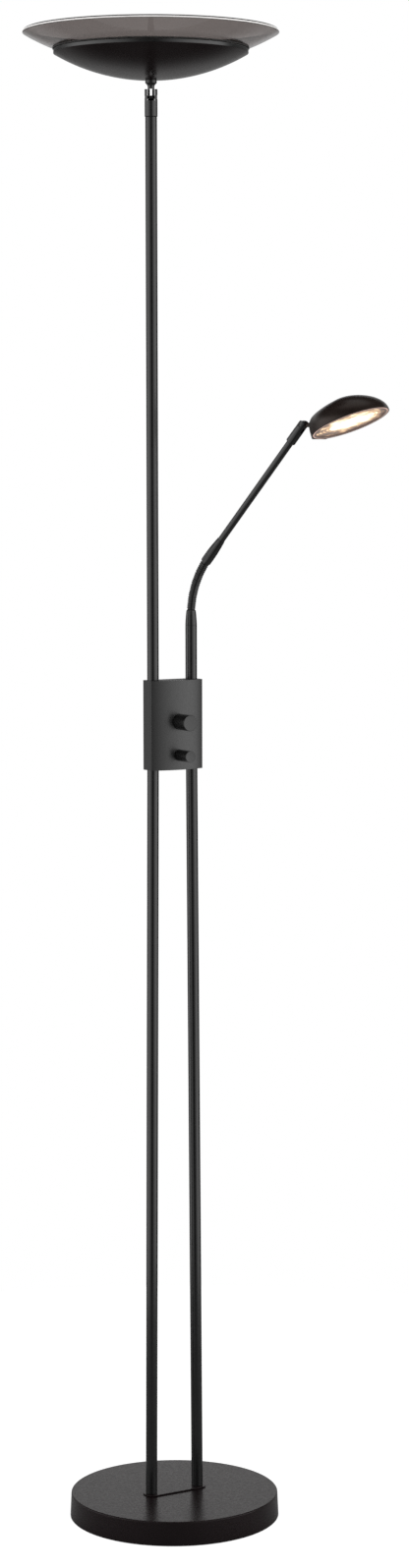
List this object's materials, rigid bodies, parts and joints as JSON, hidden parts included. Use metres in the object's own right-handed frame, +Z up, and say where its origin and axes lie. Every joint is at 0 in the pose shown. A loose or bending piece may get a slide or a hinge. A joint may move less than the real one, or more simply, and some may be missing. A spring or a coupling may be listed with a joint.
{
  "type": "torchiere floor lamp with reading arm",
  "caption": "Slim torchiere floor lamp: uplight bowl with smoked glass rim, gooseneck reading lamp, control box with dimmer knobs on twin poles, round weighted base.",
  "frame": {"origin": "centre of the underside of the round base, on the floor", "axes": "+Z up; +X from the main pole with the uplight to the pole with the reading arm; the dimmer knobs face -Y"},
  "size_m": [0.3475, 0.4008, 1.8005],
  "materials": {
    "satin_black": "satin",
    "black_plastic": "matt",
    "cast_iron": "rough cast",
    "steel": "zinc plated",
    "aluminium": "mill finish",
    "rubber": "matt",
    "circuit_board": "white solder mask",
    "opal": "opal, unlit",
    "lit_opal": "opal, lit warm white",
    "smoked_glass": "clear smoked, polished edge"
  },
  "bodies": {
    "stand": {"base_pad": "rubber", "base_weight": "cast_iron", "base_cover": "satin_black", "cord_grommet": "rubber", "foot_plate": "satin_black", "main_lower_tube": "satin_black", "main_foot_stud": "steel", "main_foot_nut": "steel", "main_coupler": "steel", "reading_lower_tube": "satin_black", "reading_foot_stud": "steel", "reading_foot_nut": "steel", "reading_coupler": "steel", "main_upper_tube": "satin_black", "reading_upper_tube": "satin_black", "reading_ferrule": "satin_black", "box_back_channel": "satin_black", "box_front_cover": "satin_black", "box_bottom_cap": "black_plastic", "box_top_cap": "black_plastic", "lower_clamp_bar": "steel", "upper_clamp_bar": "steel", "lower_clamp_screw": "steel", "upper_clamp_screw": "steel", "lower_cover_screw": "steel", "upper_cover_screw": "steel", "dimmer_board": "circuit_board", "uplight_dimmer": "black_plastic", "reading_dimmer": "black_plastic", "uplight_collar": "satin_black", "uplight_pivot_screw": "satin_black"},
    "uplight": {"uplight_neck": "satin_black", "dish_shell": "satin_black", "led_carrier": "aluminium", "uplight_led_board": "circuit_board", "dish_nut": "steel", "glass_gasket": "rubber", "smoked_glass": "smoked_glass", "uplight_diffuser": "opal", "diffuser_cap_nut": "steel"},
    "uplight_knob": {"uplight_knob": "satin_black", "uplight_dimmer_shaft": "steel"},
    "reading_knob": {"reading_knob": "satin_black", "reading_dimmer_shaft": "steel"},
    "gooseneck_1": {"gooseneck_link_1": "satin_black"},
    "gooseneck_2": {"gooseneck_link_2": "satin_black"},
    "gooseneck_3": {"gooseneck_link_3": "satin_black"},
    "gooseneck_4": {"gooseneck_link_4": "satin_black"},
    "gooseneck_5": {"gooseneck_link_5": "satin_black"},
    "gooseneck_6": {"gooseneck_link_6": "satin_black"},
    "gooseneck_7": {"gooseneck_link_7": "satin_black"},
    "gooseneck_8": {"gooseneck_link_8": "satin_black"},
    "arm": {"arm_sleeve": "satin_black", "arm_rod": "satin_black", "head_collar": "satin_black", "head_pivot_screw": "satin_black"},
    "reading_head": {"head_housing": "satin_black", "head_led_board": "circuit_board", "head_diffuser": "lit_opal", "head_bezel": "satin_black"}
  },
  "joints": [
    {"name": "uplight_tilt", "type": "hinge", "parent": "stand", "child": "uplight", "pos_m": [-0.0267, 0, 1.7221], "axis": [0.8572, -0.515, 0], "range_deg": [-40, 40]},
    {"name": "uplight_dimmer_turn", "type": "hinge", "parent": "stand", "child": "uplight_knob", "pos_m": [0, -0.0432, 0.982], "axis": [0, 1, 0], "range_deg": [0, 280]},
    {"name": "reading_dimmer_turn", "type": "hinge", "parent": "stand", "child": "reading_knob", "pos_m": [0, -0.0432, 0.9417], "axis": [0, 1, 0], "range_deg": [-280, 0]},
    {"name": "gooseneck_bend_1", "type": "hinge", "parent": "stand", "child": "gooseneck_1", "pos_m": [0.0267, 0, 1.1166], "axis": [0.9063, 0.4226, 0], "range_deg": [-8, 6.9]},
    {"name": "gooseneck_side_1", "type": "hinge", "parent": "gooseneck_1", "child": "gooseneck_2", "pos_m": [0.02714, -0.00095, 1.12403], "axis": [0.4185, -0.8974, -0.1399], "range_deg": [-7, 7]},
    {"name": "gooseneck_bend_2", "type": "hinge", "parent": "gooseneck_2", "child": "gooseneck_3", "pos_m": [0.02759, -0.0019, 1.13145], "axis": [0.9063, 0.4226, 0], "range_deg": [-8, 6.9]},
    {"name": "gooseneck_side_2", "type": "hinge", "parent": "gooseneck_3", "child": "gooseneck_4", "pos_m": [0.02847, -0.00378, 1.13866], "axis": [0.4061, -0.8708, -0.277], "range_deg": [-7, 7]},
    {"name": "gooseneck_bend_3", "type": "hinge", "parent": "gooseneck_4", "child": "gooseneck_5", "pos_m": [0.02934, -0.00567, 1.14587], "axis": [0.9063, 0.4226, 0], "range_deg": [-8, 6.9]},
    {"name": "gooseneck_side_3", "type": "hinge", "parent": "gooseneck_5", "child": "gooseneck_6", "pos_m": [0.03064, -0.00844, 1.15271], "axis": [0.3857, -0.8272, -0.4086], "range_deg": [-7, 7]},
    {"name": "gooseneck_bend_4", "type": "hinge", "parent": "gooseneck_6", "child": "gooseneck_7", "pos_m": [0.03193, -0.01122, 1.15956], "axis": [0.9063, 0.4226, 0], "range_deg": [-8, 6.9]},
    {"name": "gooseneck_side_4", "type": "hinge", "parent": "gooseneck_7", "child": "gooseneck_8", "pos_m": [0.03362, -0.01484, 1.1659], "axis": [0.3578, -0.7672, -0.5323], "range_deg": [-7, 7]},
    {"name": "gooseneck_bend_5", "type": "hinge", "parent": "gooseneck_8", "child": "arm", "pos_m": [0.03531, -0.01846, 1.17226], "axis": [0.9063, 0.4226, 0], "range_deg": [-8, 6.9]},
    {"name": "reading_head_tilt", "type": "hinge", "parent": "arm", "child": "reading_head", "pos_m": [0.09363, -0.14353, 1.33555], "axis": [0.9063, 0.4226, 0], "range_deg": [-45, 55]}
  ]
}
